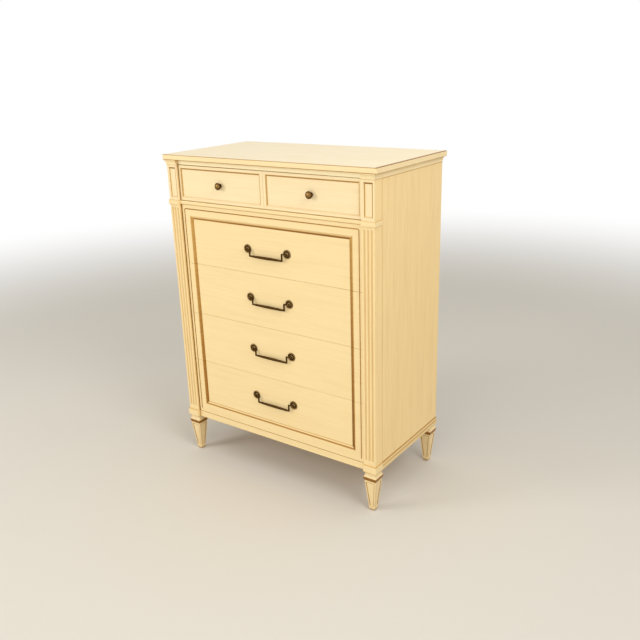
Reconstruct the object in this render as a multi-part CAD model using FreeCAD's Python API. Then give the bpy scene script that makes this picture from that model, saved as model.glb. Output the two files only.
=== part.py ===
import FreeCAD, Part
import math
import os

# Painted highboy: a tall chest with two small drawers over four large ones, on tapered legs.
# Millimetres. X runs to the right as seen from the front, Y to the back and Z up.
# The origin is on the floor, in the middle of the whole part's plan.

# Heights of the layers, from the floor up
leg_height = 160.7
base_rail_height = 27.1
bottom_drawer_height = 232.9
middle_drawer_height = 202.7
top_drawer_height = 229.3
mid_rail_height = 12.7
small_drawer_height = 133.5
top_rail_height = 17.4
slab_thickness = 19.0

# Plan of the top slab and how far it stands past the case
slab_width = 931.4
slab_depth = 487.5
side_overhang = 11.3
front_overhang = 7.0
back_overhang = 13.2
slab_round = 1.2

# Case boards
post_width = 49.4
post_depth = 45.5
side_thickness = 18.0
back_thickness = 6.0
back_rabbet = 9.0
divider_thickness = 16.0
rail_round = 1.0

# Drawer fronts: their place, gaps and thickness
front_setback = 9.5
front_thickness = 20.3
side_gap = 1.3
seam_gap = 1.0
rail_gap = 1.5
rest_gap = 0.3

# Fluted posts
flute_pitch = 13.77
flute_count = 3
flute_half_width = 4.5
flute_depth = 2.8
flute_foot_margin = 18.5
flute_head_margin = 9.5
post_panel_width = 38.0
post_panel_foot = 12.4
post_panel_head = 10.6
post_panel_depth = 2.8
post_panel_bevel = 4.0
post_round = 1.2

# Capital bands and base blocks
capital_height = 17.5
capital_rise = 1.0
trim_proud = 4.0
trim_round = 1.4
mid_rail_proud = 6.0
mid_rail_round = 3.0

# Cove moulding under the slab
cornice_height = 19.2
cornice_reach = 6.6
cornice_lip = 2.6
cornice_foot = 1.2
cove_out_share = 0.25
cove_up_share = 0.62

# Base moulding along the sides; it and the base blocks end a little above the base rail
base_trim_rise = 2.2
base_lower_band = 14.0
base_step = 1.3
base_cap = 3.5
base_ease = 1.0

# Panel worked across the four large fronts
bead_side_width = 12.0
bead_top_width = 14.4
bead_round = 2.4
groove_width = 3.0
groove_depth = 2.2
groove_corner = 7.0
groove_end_lift = 15.0
panel_side_border = 27.9
panel_top_border = 25.5
panel_foot = 40.7
panel_bevel = 11.7
panel_depth = 4.2

# Panels of the two small fronts
small_side_border = 9.2
small_inner_border = 11.5
small_end_border = 10.1
small_bevel = 5.5
small_depth = 3.2
small_round = 1.0

# Drawer boxes
board = 12.0
bottom_board = 5.0
bottom_lift = 12.0
bottom_housing = 5.0
head_room = 5.0
drawer_back_room = 14.0
tail_length = 12.0
tail_pitch = 34.0
tail_width_share = 0.62
tail_slope = 2.0
tail_clear = 0.02
guide_width = 22.0
guide_height = 7.0
guide_play = 0.5
guide_lip_width = 10.0
guide_lip_lift = 2.5

# Web frames that carry the drawers
web_thickness = 16.0
web_rail = 60.0
web_runner = 62.0
web_middle = 60.0
web_housing = 6.0

# Tapered legs
leg_inset = 24.0
leg_setback = 24.0
neck_width = 43.0
neck_height = 7.0
flare_height = 13.2
collar_width = 53.0
collar_height = 3.5
shoulder_height = 10.0
leg_top_width = 46.4
leg_foot_width = 21.5
flare_out_share = 0.22
flare_down_share = 0.6
leg_panel_margin = 5.4
leg_panel_top = 9.0
leg_panel_foot = 16.0
leg_panel_depth = 1.1
glide_radius = 8.5
glide_height = 2.5
bolt_radius = 4.0
bolt_in_leg = 40.0
bolt_in_case = 24.0
corner_block_size = 66.0

# Bail pulls: two rosettes with posts, and a swinging bail
rosette_spacing = 179.2
rosette_radius = 16.5
rosette_rim = 1.6
rosette_ring_width = 4.2
rosette_ring_height = 3.0
rosette_valley = 1.7
rosette_boss_radius = 7.2
rosette_boss_height = 4.4
pivot_reach = 10.2
eye_radius = 4.8
stem_radius = 3.4
pin_radius = 2.1
pin_play = 0.05
pin_end_wall = 1.4
arm_spacing = 146.1
arm_radius = 3.0
bar_end_radius = 3.1
bar_middle_radius = 4.8
bail_drop = 23.5
pull_screw_radius = 1.8
pull_screw_grip = 6.5
screw_head_radius = 4.4
screw_head_height = 2.4

# Heights of the rosettes above the lower edge of each large drawer, from the top drawer down
rosette_lift_1 = 90.6
rosette_lift_2 = 109.9
rosette_lift_3 = 109.6
rosette_lift_4 = 146.6

# Knobs of the small drawers
knob_projection = 21.2
knob_radius = 13.0
knob_flange_radius = 8.0
knob_flange_height = 1.8
knob_stem_radius = 5.0
knob_stem_length = 6.0
knob_head_edge = 12.4
knob_dome_start = 14.6
knob_bore_depth = 9.0

# Screws that hold the top and the back
case_screw_radius = 2.2
case_screw_head_radius = 3.7
case_screw_head_height = 2.0
top_screw_length = 28.0
top_screw_places_share = (-0.84, 0.0, 0.84)
back_screw_length = 14.0
back_screw_inset = 4.5
rear_rail_depth = 20.0

# Overrun of every cutting shape
over = 2.0
same_place = over / 20

# Directions
ACROSS = FreeCAD.Vector(1, 0, 0)
BACKWARD = FreeCAD.Vector(0, 1, 0)
UPWARD = FreeCAD.Vector(0, 0, 1)
ORIGIN = FreeCAD.Vector(0, 0, 0)

# Places across
case_half = slab_width / 2 - side_overhang
opening_half = case_half - post_width
front_half = opening_half - side_gap
side_inner = case_half - side_thickness
post_middle = case_half - post_width / 2
leg_x = case_half - leg_inset

# Places in depth, with the knobs the foremost pieces
small_field_setback = front_overhang + front_setback + small_depth
knob_lead = max(0, knob_projection - small_field_setback)
y_slab_front = knob_lead - (slab_depth + knob_lead) / 2
y_slab_back = y_slab_front + slab_depth
y_post = y_slab_front + front_overhang
y_post_back = y_post + post_depth
y_front = y_post + front_setback
y_front_back = y_front + front_thickness
y_inside = y_front_back + rest_gap
y_case_back = y_slab_back - back_overhang
y_back_panel = y_case_back - back_thickness
y_drawer_back = y_back_panel - drawer_back_room
y_front_leg = y_post + leg_setback
y_back_leg = y_case_back - leg_setback
y_large_field = y_front + panel_depth
y_small_field = y_front + small_depth
y_pivot = y_large_field - pivot_reach

# Places in height
z_case = leg_height
z_base_top = z_case + base_rail_height
z_base_trim = z_base_top + base_trim_rise
z_seam_3 = z_base_top + bottom_drawer_height
z_seam_2 = z_seam_3 + middle_drawer_height
z_seam_1 = z_seam_2 + middle_drawer_height
z_mid_rail = z_seam_1 + top_drawer_height
z_mid_rail_top = z_mid_rail + mid_rail_height
z_top_rail = z_mid_rail_top + small_drawer_height
z_slab = z_top_rail + top_rail_height
z_top = z_slab + slab_thickness
z_capital_top = z_mid_rail_top + capital_rise
z_capital = z_capital_top - capital_height
z_cove = z_slab - cornice_height


def point(x, y, z):
    return FreeCAD.Vector(x, y, z)


def block(x_low, x_high, y_low, y_high, z_low, z_high):
    size = point(x_high - x_low, y_high - y_low, z_high - z_low)
    return Part.makeBox(size.x, size.y, size.z, point(x_low, y_low, z_low))


def rod(radius, length, start, direction):
    return Part.makeCylinder(radius, length, start, direction)


def mirrored(shape):
    return shape.mirror(ORIGIN, ACROSS)


def group(solids):
    return Part.makeCompound(solids)


def closed_face(corners):
    return Part.Face(Part.makePolygon(corners + corners[:1]))


def rounded(shape, radius, chosen):
    edges = [edge for edge in shape.Edges if chosen(edge.BoundBox)]
    return shape.makeFillet(radius, edges)


def lies_at(box_low, box_high, place):
    return abs(box_low - place) < same_place and abs(box_high - place) < same_place


# Top slab and the cove moulding under it

def top_panel():
    half = slab_width / 2
    slab = block(-half, half, y_slab_front, y_slab_back, z_slab, z_top)
    return slab.makeFillet(slab_round, slab.Edges)


def cove_face(to_point):
    """Section of the cove moulding; to_point turns reach and height into a place."""
    foot = to_point(cornice_foot, z_cove)
    toe = to_point(cornice_foot, z_cove + cornice_foot)
    lip = to_point(cornice_reach, z_slab - cornice_lip)
    climb = z_slab - cornice_lip - z_cove - cornice_foot
    bow = to_point(
        cornice_foot + (cornice_reach - cornice_foot) * cove_out_share,
        z_cove + cornice_foot + climb * cove_up_share,
    )
    edges = [
        Part.LineSegment(to_point(0, z_cove), foot).toShape(),
        Part.LineSegment(foot, toe).toShape(),
        Part.Arc(toe, bow, lip).toShape(),
        Part.LineSegment(lip, to_point(cornice_reach, z_slab)).toShape(),
        Part.LineSegment(to_point(cornice_reach, z_slab), to_point(0, z_slab)).toShape(),
        Part.LineSegment(to_point(0, z_slab), to_point(0, z_cove)).toShape(),
    ]
    return Part.Face(Part.Wire(edges))


def cornice():
    """Right-hand cove: one run along the side and a short one over the post, mitred."""
    y_ahead = y_post - cornice_reach
    side_run = cove_face(lambda out, z: point(case_half + out, y_ahead, z))
    side_run = side_run.extrude(BACKWARD * (y_case_back - y_ahead))
    cap_run = cove_face(lambda out, z: point(opening_half, y_post - out, z))
    cap_run = cap_run.extrude(ACROSS * (post_width + cornice_reach))
    far = cornice_reach + over
    z_low = z_cove - over
    corner = point(case_half, y_post, z_low)
    ahead = point(case_half, y_post - far, z_low)
    outward = point(case_half + far, y_post, z_low)
    tip = point(case_half + far, y_post - far, z_low)
    rise = UPWARD * (cornice_height + over + over)
    side_run = side_run.cut(closed_face([corner, ahead, tip]).extrude(rise))
    cap_run = cap_run.cut(closed_face([corner, outward, tip]).extrude(rise))
    return group([side_run, cap_run])


# Case boards

def bolt_hole(x, y):
    return rod(bolt_radius, bolt_in_case, point(x, y, z_case), UPWARD)


def back_bolts():
    return [bolt_hole(x, y_back_leg) for x in (-leg_x, leg_x)]


def flute_tool(x):
    """Round-nosed cutter for one flute, with round ends."""
    radius = (flute_half_width ** 2 + flute_depth ** 2) / (2 * flute_depth)
    y_axis = y_post - (radius - flute_depth)
    z_low = z_base_top + flute_foot_margin + flute_half_width
    z_high = z_capital - flute_head_margin - flute_half_width
    shaft = rod(radius, z_high - z_low, point(x, y_axis, z_low), UPWARD)
    low_end = Part.makeSphere(radius, point(x, y_axis, z_low))
    high_end = Part.makeSphere(radius, point(x, y_axis, z_high))
    return shaft.fuse([low_end, high_end])


def recess_tool(x_low, x_high, z_low, z_high, y_face, bevel, depth):
    """Sunk panel with sloping sides, from the face plane down to its field."""
    spread = bevel * over / depth

    def ring(grow, y):
        return Part.makePolygon([
            point(x_low - grow, y, z_low - grow),
            point(x_high + grow, y, z_low - grow),
            point(x_high + grow, y, z_high + grow),
            point(x_low - grow, y, z_high + grow),
            point(x_low - grow, y, z_low - grow),
        ])

    return Part.makeLoft([ring(spread, y_face - over), ring(-bevel, y_face + depth)], True, True)


def front_post():
    """Right-hand post: fluted shaft with a sunk panel at its head."""
    post = block(opening_half, case_half, y_post, y_post_back, z_case, z_slab)
    post = rounded(post, post_round, lambda b: lies_at(b.XMin, b.XMax, case_half)
                   and lies_at(b.YMin, b.YMax, y_post))
    first = post_middle - flute_pitch * (flute_count - 1) / 2
    for number in range(flute_count):
        post = post.cut(flute_tool(first + number * flute_pitch))
    half = post_panel_width / 2
    post = post.cut(recess_tool(
        post_middle - half, post_middle + half,
        z_mid_rail_top + post_panel_foot, z_top_rail - post_panel_head,
        y_post, post_panel_bevel, post_panel_depth))
    return post.cut(bolt_hole(leg_x, y_front_leg))


def side_panel():
    """Right-hand side board, rabbeted for the back and housed for the web frames."""
    board_solid = block(side_inner, case_half, y_post_back, y_case_back, z_case, z_slab)
    board_solid = board_solid.cut(block(
        side_inner - over, side_inner + back_rabbet, y_back_panel, y_case_back + over,
        z_case - over, z_slab + over))
    for z_low, thickness in web_levels:
        board_solid = board_solid.cut(block(
            side_inner - over, side_inner + web_housing, y_post_back, y_back_panel,
            z_low, z_low + thickness))
    return board_solid


def back_panel():
    half = side_inner + back_rabbet
    panel = block(-half, half, y_back_panel, y_case_back, z_case, z_slab)
    for start in back_screw_starts():
        panel = panel.cut(back_screw(start))
    return panel


def trim_band(z_low, z_high):
    """Right-hand band that wraps the front and the outer side of a post."""
    band = block(
        opening_half, case_half + trim_proud, y_post - trim_proud, y_post_back, z_low, z_high)
    band = rounded(band, trim_round, lambda b: (
        lies_at(b.YMin, b.YMax, y_post - trim_proud)
        or lies_at(b.XMin, b.XMax, case_half + trim_proud)) and b.YMax < y_post_back + over
        and not lies_at(b.YMin, b.YMax, y_post_back) and not lies_at(b.XMin, b.XMax, opening_half))
    inner = block(
        opening_half - over, case_half, y_post, y_post_back + over, z_low - over, z_high + over)
    return band.cut(inner)


def capitals():
    band = trim_band(z_capital, z_capital_top)
    return group([mirrored(band), band])


def base_blocks():
    band = trim_band(z_case, z_base_trim)
    return group([mirrored(band), band])


def base_moulding():
    """Right-hand moulding along the foot of the side, behind the post."""
    outer = case_half + trim_proud
    z_band = z_case + base_lower_band
    outline = [
        point(case_half, y_post_back, z_case),
        point(outer - base_ease, y_post_back, z_case),
        point(outer, y_post_back, z_case + base_ease),
        point(outer, y_post_back, z_band - base_ease),
        point(outer - base_step, y_post_back, z_band),
        point(outer - base_step, y_post_back, z_base_trim - base_cap),
        point(case_half + base_ease, y_post_back, z_base_trim),
        point(case_half, y_post_back, z_base_trim),
    ]
    return closed_face(outline).extrude(BACKWARD * (y_case_back - y_post_back))


def front_rail(y_face, z_low, z_high, radius):
    rail = block(-opening_half, opening_half, y_face, y_inside, z_low, z_high)
    return rounded(rail, radius, lambda b: lies_at(b.YMin, b.YMax, y_face)
                   and b.XMax - b.XMin > opening_half)


def top_rail():
    rail = front_rail(y_front, z_top_rail, z_slab, rail_round)
    for x in top_screw_places():
        rail = rail.cut(top_screw(x, y_front + front_thickness / 2))
    return rail


def mid_rail():
    return front_rail(y_front - mid_rail_proud, z_mid_rail, z_mid_rail_top, mid_rail_round)


def base_rail():
    return front_rail(y_front, z_case, z_base_top, rail_round)


def rear_rail():
    """Rail behind the small drawers that ties the sides and holds the top."""
    rail = block(-side_inner, side_inner, y_back_panel - rear_rail_depth, y_back_panel,
                 z_top_rail, z_slab)
    for x in top_screw_places():
        rail = rail.cut(top_screw(x, y_back_panel - rear_rail_depth / 2))
    return rail


def centre_divider():
    """Upright between the two small drawers, on the upper web frame."""
    half = divider_thickness / 2
    return block(-half, half, y_inside, y_back_panel - rear_rail_depth, z_mid_rail_top, z_slab)


# Web frames: a front rail notched round the posts, a back rail, two runners and a middle bar

web_levels = [
    (z_base_top - web_thickness, web_thickness),
    (z_seam_3 - web_thickness / 2, web_thickness),
    (z_seam_2 - web_thickness / 2, web_thickness),
    (z_seam_1 - web_thickness / 2, web_thickness),
    (z_mid_rail, mid_rail_height),
]


def web_frame(level, middles):
    z_low, thickness = level
    z_high = z_low + thickness
    housed = side_inner + web_housing
    y_rail_back = y_inside + web_rail
    y_back_rail = y_back_panel - web_rail
    between_posts = block(-opening_half, opening_half, y_inside, y_rail_back, z_low, z_high)
    behind_posts = block(-housed, housed, y_post_back, y_rail_back, z_low, z_high)
    pieces = [
        between_posts.fuse(behind_posts).removeSplitter(),
        block(-housed, housed, y_back_rail, y_back_panel, z_low, z_high),
        block(-housed, web_runner - housed, y_rail_back, y_back_rail, z_low, z_high),
        block(housed - web_runner, housed, y_rail_back, y_back_rail, z_low, z_high),
    ]
    for middle in middles:
        pieces.append(block(middle - web_middle / 2, middle + web_middle / 2,
                            y_rail_back, y_back_rail, z_low, z_high))
    return group([piece.cut(back_bolts()) for piece in pieces])


# Drawers, each worked out from the opening that it fills

def drawer_opening(z_low, z_high, gap_low, gap_high, z_run, z_ceiling, x_low, x_high):
    return {
        "front_low": z_low + gap_low,
        "front_high": z_high - gap_high,
        "box_low": z_run + rest_gap,
        "box_high": z_ceiling - head_room,
        "x_low": x_low,
        "x_high": x_high,
    }


half_seam = seam_gap / 2
half_web = web_thickness / 2

large_openings = [
    drawer_opening(z_seam_1, z_mid_rail, half_seam, rail_gap, z_seam_1 + half_web, z_mid_rail,
                   -front_half, front_half),
    drawer_opening(z_seam_2, z_seam_1, half_seam, half_seam, z_seam_2 + half_web,
                   z_seam_1 - half_web, -front_half, front_half),
    drawer_opening(z_seam_3, z_seam_2, half_seam, half_seam, z_seam_3 + half_web,
                   z_seam_2 - half_web, -front_half, front_half),
    drawer_opening(z_base_top, z_seam_3, rail_gap, half_seam, z_base_top,
                   z_seam_3 - half_web, -front_half, front_half),
]

small_openings = [
    drawer_opening(z_mid_rail_top, z_top_rail, rail_gap, rail_gap, z_mid_rail_top, z_top_rail,
                   -front_half, -half_seam),
    drawer_opening(z_mid_rail_top, z_top_rail, rail_gap, rail_gap, z_mid_rail_top, z_top_rail,
                   half_seam, front_half),
]

rosette_heights = [
    z_seam_1 + rosette_lift_1,
    z_seam_2 + rosette_lift_2,
    z_seam_3 + rosette_lift_3,
    z_base_top + rosette_lift_4,
]


def box_sides(opening):
    """Outer faces of a drawer box: flush with its front, but clear of the centre divider."""
    x_low = opening["x_low"]
    x_high = opening["x_high"]
    clear = divider_thickness / 2 + side_gap
    if x_high < front_half:
        x_high = -clear
    if x_low > -front_half:
        x_low = clear
    return x_low, x_high


def tails(opening, x_low, x_high, play):
    """Dovetails of one drawer side, from its shoulder into the front."""
    z_low = opening["box_low"]
    z_high = opening["box_high"]
    count = int((z_high - z_low) / tail_pitch)
    pitch = (z_high - z_low) / count
    half = pitch * tail_width_share / 2
    solids = []
    for number in range(count):
        middle = z_low + pitch * (number + 1 / 2)
        y_tip = y_front_back - tail_length - play
        root = half - tail_slope + play
        tip = half + play
        outline = [
            point(x_low, y_front_back, middle - root),
            point(x_low, y_tip, middle - tip),
            point(x_low, y_tip, middle + tip),
            point(x_low, y_front_back, middle + root),
        ]
        solids.append(closed_face(outline).extrude(ACROSS * (x_high - x_low)))
    return solids


def bottom_span(opening):
    x_low, x_high = box_sides(opening)
    z_low = opening["box_low"] + bottom_lift
    return (x_low + board - bottom_housing, x_high - board + bottom_housing,
            y_front_back - bottom_housing, y_drawer_back, z_low, z_low + bottom_board)


def drawer_bottom(opening):
    return block(*bottom_span(opening))


def drawer_box(opening):
    """Two dovetailed sides, the back above the bottom board, and the guide lips below it."""
    x_low, x_high = box_sides(opening)
    z_low = opening["box_low"]
    z_high = opening["box_high"]
    floor = drawer_bottom(opening)
    solids = []
    for side_low, side_high in ((x_low, x_low + board), (x_high - board, x_high)):
        side = block(side_low, side_high, y_front_back, y_drawer_back, z_low, z_high)
        side = side.fuse(tails(opening, side_low, side_high, 0)).removeSplitter()
        solids.append(side.cut(floor))
    z_floor_top = z_low + bottom_lift + bottom_board
    solids.append(block(x_low + board, x_high - board, y_drawer_back - board, y_drawer_back,
                        z_floor_top, z_high))
    middle = (x_low + x_high) / 2
    inner = guide_width / 2 + guide_play
    for lip_low, lip_high in ((middle - inner - guide_lip_width, middle - inner),
                              (middle + inner, middle + inner + guide_lip_width)):
        solids.append(block(lip_low, lip_high, y_front_back, y_drawer_back,
                            z_low + guide_lip_lift, z_low + bottom_lift))
    return group(solids)


def cut_joints(front, opening):
    """Sockets for the tails and the housing for the bottom board, at the back of a front."""
    x_low, x_high = box_sides(opening)
    for side_low, side_high in ((x_low, x_low + board), (x_high - board, x_high)):
        if side_low < opening["x_low"] + side_gap:
            side_low = opening["x_low"] - over
        if side_high > opening["x_high"] - side_gap:
            side_high = opening["x_high"] + over
        front = front.cut(tails(opening, side_low, side_high, tail_clear))
    return front.cut(drawer_bottom(opening))


groove_x = front_half - bead_side_width - groove_width / 2
groove_top = z_mid_rail - rail_gap - bead_top_width - groove_width / 2


def panel_recess():
    """The one sunk panel that runs across all four large fronts."""
    x_edge = groove_x - panel_side_border
    z_edge = groove_top - panel_top_border
    return recess_tool(-x_edge, x_edge, z_base_top + panel_foot, z_edge,
                       y_front, panel_bevel, panel_depth)


def rounded_plate(x_half, z_low, z_high, radius, y_low, y_high):
    plate = block(-x_half, x_half, y_low, y_high, z_low, z_high)
    return rounded(plate, radius, lambda b: b.YMax - b.YMin > (y_high - y_low) / 2)


def panel_groove():
    """Glazed groove up both sides and over the top, with round corners and ends."""
    half = groove_width / 2
    z_end = z_base_top + groove_end_lift
    y_low = y_front - over
    y_high = y_front + groove_depth
    z_under = z_end - groove_corner * 2
    outer = rounded_plate(groove_x + half, z_under, groove_top + half,
                          groove_corner + half, y_low, y_high)
    inner = rounded_plate(groove_x - half, z_under - over, groove_top - half,
                          groove_corner - half, y_low - over, y_high + over)
    ring = outer.cut(inner)
    ring = ring.cut(block(-opening_half, opening_half, y_low - over, y_high + over,
                          z_under - over, z_end))
    ends = [rod(half, y_high - y_low, point(x, y_low, z_end), BACKWARD)
            for x in (-groove_x, groove_x)]
    return ring.fuse(ends)


def large_front(number):
    opening = large_openings[number]
    z_low = opening["front_low"]
    z_high = opening["front_high"]
    front = block(-front_half, front_half, y_front, y_front_back, z_low, z_high)
    top_most = number == 0

    def beaded(b):
        at_face = lies_at(b.YMin, b.YMax, y_front)
        at_side = lies_at(b.XMin, b.XMax, front_half) or lies_at(b.XMin, b.XMax, -front_half)
        at_top = top_most and lies_at(b.ZMin, b.ZMax, z_high)
        return at_face and (at_side or at_top)

    front = rounded(front, bead_round, beaded)
    front = front.cut(panel_recess()).cut(panel_groove())
    for x in (-rosette_spacing / 2, rosette_spacing / 2):
        front = front.cut(rod(pull_screw_radius, front_thickness + over,
                              point(x, y_front, rosette_heights[number]), BACKWARD))
    return cut_joints(front, opening)


def small_front(number):
    opening = small_openings[number]
    z_low = opening["front_low"]
    z_high = opening["front_high"]
    front = block(opening["x_low"], opening["x_high"], y_front, y_front_back, z_low, z_high)
    front = rounded(front, small_round, lambda b: lies_at(b.YMin, b.YMax, y_front))
    low_border, high_border = small_side_border, small_inner_border
    if opening["x_low"] > 0:
        low_border, high_border = high_border, low_border
    front = front.cut(recess_tool(
        opening["x_low"] + low_border, opening["x_high"] - high_border,
        z_low + small_end_border, z_high - small_end_border, y_front, small_bevel, small_depth))
    x, z = knob_place(number)
    front = front.cut(rod(pull_screw_radius, front_thickness + over, point(x, y_front, z), BACKWARD))
    return cut_joints(front, opening)


def drawer_guides():
    """Guide strips on the middle bars of the web frames."""
    strips = []
    for z_run in (z_base_top, z_seam_3 + half_web, z_seam_2 + half_web, z_seam_1 + half_web):
        strips.append((0, z_run))
    for opening in small_openings:
        x_low, x_high = box_sides(opening)
        strips.append(((x_low + x_high) / 2, z_mid_rail_top))
    half = guide_width / 2
    return group([block(x - half, x + half, y_inside + rest_gap, y_back_panel, z, z + guide_height)
                  for x, z in strips])


# Knobs and bail pulls

def turned(profile, x, y, z):
    """Solid turned about a line through (x, y, z) that points to the front.

    The profile is a list of (radius, projection), or (radius, projection, via) where the
    line before it is an arc through the via point.
    """
    def place(radius, projection):
        return point(x + radius, y - projection, z)

    edges = []
    last = profile[0]
    for step in profile[1:] + profile[:1]:
        start = place(last[0], last[1])
        end = place(step[0], step[1])
        if len(step) == 3 and step is not profile[0]:
            edges.append(Part.Arc(start, place(*step[2]), end).toShape())
        else:
            edges.append(Part.LineSegment(start, end).toShape())
        last = step
    face = Part.Face(Part.Wire(edges))
    return face.revolve(point(x, y, z), BACKWARD, 360)


def knob_place(number):
    opening = small_openings[number]
    return ((opening["x_low"] + opening["x_high"]) / 2,
            (opening["front_low"] + opening["front_high"]) / 2)


def knob(number):
    """Cast knob with its screw, which comes through the front from inside the drawer."""
    x, z = knob_place(number)
    flare_via = (knob_stem_radius + (knob_radius - knob_stem_radius) / 4,
                 (knob_stem_length + knob_head_edge) / 2 + knob_flange_height / 2)
    rise = knob_projection - knob_dome_start
    dome = (knob_radius ** 2 + rise ** 2) / (2 * rise)
    half_turn = math.asin(knob_radius / dome) / 2
    dome_via = (dome * math.sin(half_turn), knob_projection - dome + dome * math.cos(half_turn))
    profile = [
        (0, 0),
        (knob_flange_radius, 0),
        (knob_flange_radius, knob_flange_height),
        (knob_stem_radius, knob_flange_height * 2),
        (knob_stem_radius, knob_stem_length),
        (knob_radius, knob_head_edge, flare_via),
        (knob_radius, knob_dome_start),
        (0, knob_projection, dome_via),
    ]
    body = turned(profile, x, y_small_field, z)
    screw = rod(pull_screw_radius, y_front_back - y_small_field + knob_bore_depth,
                point(x, y_small_field - knob_bore_depth, z), BACKWARD)
    head = rod(screw_head_radius, screw_head_height, point(x, y_front_back, z), BACKWARD)
    screw = screw.fuse(head).removeSplitter()
    return group([body.cut(screw), screw])


def rosette(x, z):
    """Turned back plate: raised rim, dished ring and a boss round the post."""
    rim_inner = rosette_radius - rosette_ring_width
    ring_via = (rosette_radius - rosette_ring_width / 2, rosette_ring_height)
    boss_foot = rosette_boss_radius
    boss_via = ((boss_foot + stem_radius) / 2 + rosette_rim / 2,
                (rosette_boss_height + rosette_valley) / 2 + rosette_rim / 4)
    profile = [
        (stem_radius, 0),
        (rosette_radius, 0),
        (rosette_radius, rosette_rim),
        (rim_inner, rosette_valley, ring_via),
        (boss_foot, rosette_valley),
        (stem_radius, rosette_boss_height, boss_via),
    ]
    return turned(profile, x, y_large_field, z)


def pull_post(x, z):
    """Stem and eye; the eye is bored from its inner side for the end of the bail."""
    stem = rod(stem_radius, pivot_reach, point(x, y_pivot, z), BACKWARD)
    eye = Part.makeSphere(eye_radius, point(x, y_pivot, z))
    post = stem.fuse(eye)
    inward = -1 if x > 0 else 1
    bore_length = eye_radius * 2 - pin_end_wall
    bore_start = point(x - inward * (eye_radius - pin_end_wall), y_pivot, z)
    post = post.cut(rod(pin_radius + pin_play, bore_length + over, bore_start, ACROSS * inward))
    return post


def pull_screw(x, z):
    y_tip = y_large_field - pull_screw_grip
    shank = rod(pull_screw_radius, y_front_back - y_tip, point(x, y_tip, z), BACKWARD)
    head = rod(screw_head_radius, screw_head_height, point(x, y_front_back, z), BACKWARD)
    return shank.fuse(head).removeSplitter()


def pull_posts(number):
    z = rosette_heights[number]
    solids = []
    for x in (-rosette_spacing / 2, rosette_spacing / 2):
        screw = pull_screw(x, z)
        solids.append(rosette(x, z))
        solids.append(pull_post(x, z).cut(screw))
        solids.append(screw)
    return group(solids)


def bail(number):
    """Bar that swells to its middle, two arms, and ends that turn out into the posts."""
    z_pivot = rosette_heights[number]
    z_bar = z_pivot - bail_drop
    arm = arm_spacing / 2
    bar_edges = [
        Part.LineSegment(point(-arm, y_pivot, z_bar),
                         point(-arm, y_pivot, z_bar + bar_end_radius)).toShape(),
        Part.Arc(point(-arm, y_pivot, z_bar + bar_end_radius),
                 point(0, y_pivot, z_bar + bar_middle_radius),
                 point(arm, y_pivot, z_bar + bar_end_radius)).toShape(),
        Part.LineSegment(point(arm, y_pivot, z_bar + bar_end_radius),
                         point(arm, y_pivot, z_bar)).toShape(),
        Part.LineSegment(point(arm, y_pivot, z_bar), point(-arm, y_pivot, z_bar)).toShape(),
    ]
    bar = Part.Face(Part.Wire(bar_edges)).revolve(point(0, y_pivot, z_bar), ACROSS, 360)
    pieces = []
    pin_length = rosette_spacing / 2 + eye_radius - pin_end_wall - rest_gap - arm
    for side in (-1, 1):
        x = side * arm
        pieces.append(rod(arm_radius, bail_drop, point(x, y_pivot, z_bar), UPWARD))
        pieces.append(Part.makeSphere(bar_end_radius, point(x, y_pivot, z_bar)))
        pieces.append(Part.makeSphere(arm_radius, point(x, y_pivot, z_pivot)))
        pieces.append(rod(pin_radius, pin_length, point(x, y_pivot, z_pivot), ACROSS * side))
    return bar.fuse(pieces).removeSplitter()


# Legs and what fixes them

def leg_outline(to_point):
    """Half outline of a leg and its mirror image, as one closed face."""
    z_neck = z_case - neck_height
    z_flare = z_neck - flare_height
    z_collar = z_flare - collar_height
    z_shoulder = z_collar - shoulder_height
    neck = neck_width / 2
    collar = collar_width / 2
    via_r = neck + (collar - neck) * flare_out_share
    via_z = z_neck - flare_height * flare_down_share
    edges = []
    for side in (1, -1):
        stops = [
            to_point(side * neck, z_case),
            to_point(side * neck, z_neck),
            to_point(side * collar, z_flare),
            to_point(side * collar, z_collar),
            to_point(side * leg_top_width / 2, z_shoulder),
            to_point(side * leg_foot_width / 2, glide_height),
        ]
        edges.append(Part.LineSegment(stops[0], stops[1]).toShape())
        edges.append(Part.Arc(stops[1], to_point(side * via_r, via_z), stops[2]).toShape())
        for start, end in zip(stops[2:], stops[3:]):
            edges.append(Part.LineSegment(start, end).toShape())
    edges.append(Part.LineSegment(to_point(-neck, z_case), to_point(neck, z_case)).toShape())
    foot = leg_foot_width / 2
    edges.append(Part.LineSegment(to_point(-foot, glide_height),
                                  to_point(foot, glide_height)).toShape())
    return Part.Face(Part.Wire(Part.sortEdges(edges)[0]))


def leg_panel_tool(x, y, quarter_turns):
    """Sunk tapered panel on one face of a leg."""
    z_shoulder = z_case - neck_height - flare_height - collar_height - shoulder_height
    z_high = z_shoulder - leg_panel_top
    z_low = glide_height + leg_panel_foot
    slope = (leg_top_width - leg_foot_width) / 2 / (z_shoulder - glide_height)

    def ring(z):
        face = leg_foot_width / 2 + slope * (z - glide_height)
        half = face - leg_panel_margin
        return Part.makePolygon([
            point(x - half, y - face - over, z),
            point(x + half, y - face - over, z),
            point(x + half, y - face + leg_panel_depth, z),
            point(x - half, y - face + leg_panel_depth, z),
            point(x - half, y - face - over, z),
        ])

    tool = Part.makeLoft([ring(z_low), ring(z_high)], True, True)
    tool.rotate(point(x, y, 0), UPWARD, quarter_turns * 90)
    return tool


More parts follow.
